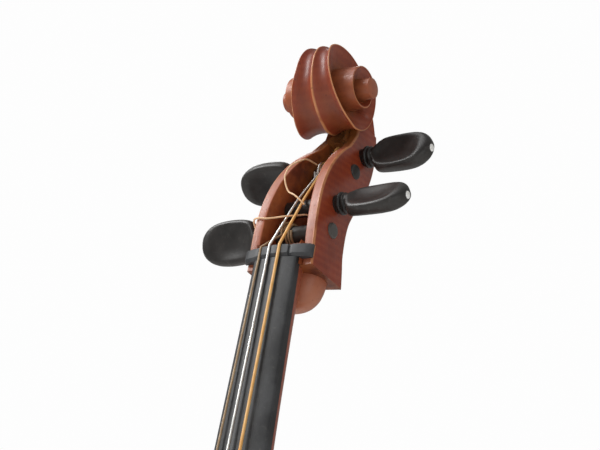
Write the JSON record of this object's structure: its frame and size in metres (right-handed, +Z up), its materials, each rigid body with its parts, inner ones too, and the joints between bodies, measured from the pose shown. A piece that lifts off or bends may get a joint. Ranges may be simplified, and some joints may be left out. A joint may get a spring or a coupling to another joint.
{
  "type": "cello",
  "caption": "Four-stringed bowed instrument with carved scroll, friction pegs, arched hollow body, bridge, tailpiece and a sliding endpin.",
  "frame": {"origin": "tip of the endpin where it stands on the floor, with the rod at the length it is used at", "axes": "+Z up the body to the scroll, -Y out of the front of the instrument toward the strings, +X toward the treble side"},
  "size_m": [0.44, 0.2617, 1.483],
  "materials": {
    "spruce_varnish": "worn reddish-brown varnish over spruce",
    "maple_varnish": "worn reddish-brown varnish over maple, rubbed lighter on the edges",
    "bare_wood": "unvarnished spruce and willow",
    "bridge_maple": "bare aged maple",
    "ebony": "near-black, hand-polished",
    "pearl": "mother-of-pearl, polished",
    "wound_silver": "fine silver winding over gut",
    "gut": "golden, slightly glossy gut",
    "steel": "plain steel",
    "brass": "dull brass",
    "rubber": "matte black rubber"
  },
  "bodies": {
    "instrument": {"back_plate": "maple_varnish", "bass_bar": "bare_wood", "bridge": "bridge_maple", "centre_lining_bass_back": "bare_wood", "centre_lining_bass_front": "bare_wood", "centre_lining_treble_back": "bare_wood", "centre_lining_treble_front": "bare_wood", "centre_rib_bass": "maple_varnish", "centre_rib_treble": "maple_varnish", "end_block": "bare_wood", "endpin_collar": "brass", "endpin_plug": "ebony", "fingerboard": "ebony", "loose_gut_end": "gut", "loose_gut_loop": "gut", "lower_corner_block_bass": "bare_wood", "lower_corner_block_treble": "bare_wood", "lower_lining_bass_back": "bare_wood", "lower_lining_bass_front": "bare_wood", "lower_lining_treble_back": "bare_wood", "lower_lining_treble_front": "bare_wood", "lower_rib_bass": "maple_varnish", "lower_rib_treble": "maple_varnish", "neck_and_scroll": "maple_varnish", "neck_block": "bare_wood", "nut": "ebony", "saddle": "ebony", "sound_post": "bare_wood", "string_c": "gut", "string_d": "gut", "string_g": "wound_silver", "tail_gut": "gut", "tailpiece": "ebony", "tailpiece_fret": "ebony", "top_plate": "spruce_varnish", "upper_corner_block_bass": "bare_wood", "upper_corner_block_treble": "bare_wood", "upper_lining_bass_back": "bare_wood", "upper_lining_bass_front": "bare_wood", "upper_lining_treble_back": "bare_wood", "upper_lining_treble_front": "bare_wood", "upper_rib_bass": "maple_varnish", "upper_rib_treble": "maple_varnish"},
    "c_peg": {"peg_c": "ebony", "pip_c": "pearl", "winding_c": "gut"},
    "a_peg": {"peg_a": "ebony", "pip_a": "pearl", "winding_a": "gut"},
    "g_peg": {"peg_g": "ebony", "pip_g": "pearl", "winding_g": "wound_silver"},
    "d_peg": {"peg_d": "ebony", "pip_d": "pearl", "winding_d": "gut"},
    "endpin_slide_rod": {"endpin_rod": "steel", "endpin_foot": "rubber"},
    "thumbscrew": {"endpin_thumbscrew": "steel"}
  },
  "joints": [
    {"name": "c_peg_turn", "type": "hinge", "parent": "instrument", "child": "c_peg", "pos_m": [0, -0.01675, 1.34151], "axis": [1, 0, 0], "continuous": true},
    {"name": "a_peg_turn", "type": "hinge", "parent": "instrument", "child": "a_peg", "pos_m": [0, -0.01047, 1.36184], "axis": [1, 0, 0], "continuous": true},
    {"name": "g_peg_turn", "type": "hinge", "parent": "instrument", "child": "g_peg", "pos_m": [0, 0.01512, 1.39383], "axis": [1, 0, 0], "continuous": true},
    {"name": "d_peg_turn", "type": "hinge", "parent": "instrument", "child": "d_peg", "pos_m": [0, 0.02966, 1.40962], "axis": [1, 0, 0], "continuous": true},
    {"name": "endpin_slide", "type": "slide", "parent": "instrument", "child": "endpin_slide_rod", "axis": [0, 0, 1], "range_m": [-0.16, 0.205]},
    {"name": "thumbscrew_turn", "type": "hinge", "parent": "instrument", "child": "thumbscrew", "pos_m": [0, -0.012, 0.2508], "axis": [0, -1, 0], "range_deg": [0, 540]}
  ]
}
